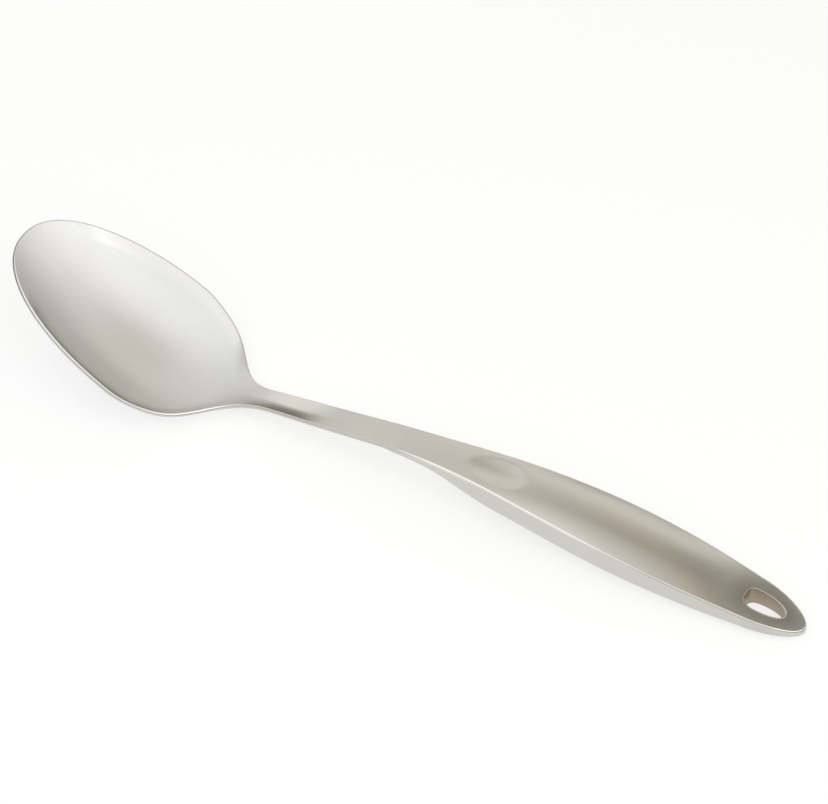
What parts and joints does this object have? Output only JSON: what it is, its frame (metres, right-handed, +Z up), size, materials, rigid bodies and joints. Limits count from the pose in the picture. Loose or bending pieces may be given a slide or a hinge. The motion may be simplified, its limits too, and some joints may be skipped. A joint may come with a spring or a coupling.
{
  "type": "serving spoon",
  "caption": "Solid stainless serving spoon: egg-shaped bowl, slim stem with a creased neck and hollow boat-shaped handle with a thumb dimple and a hang hole.",
  "frame": {"origin": "middle of the spoon's length and width, on the table that it lies on", "axes": "+X from the bowl's tip to the end of the handle, +Y across, +Z up from the table"},
  "size_m": [0.3316, 0.0676, 0.0452],
  "materials": {
    "satin_steel": "fine satin brush along the spoon, edges polished",
    "handle_steel": "satin brush along the handle",
    "sleeve_steel": "plain drawn tube, duller than the outside",
    "polished_weld": "weld ground round and polished"
  },
  "bodies": {
    "root": {"bowl_and_stem": "satin_steel", "handle_top_shell": "handle_steel", "handle_bottom_shell": "handle_steel", "hang_hole_sleeve": "sleeve_steel", "edge_seam_weld": "polished_weld", "neck_weld": "polished_weld"}
  },
  "joints": []
}
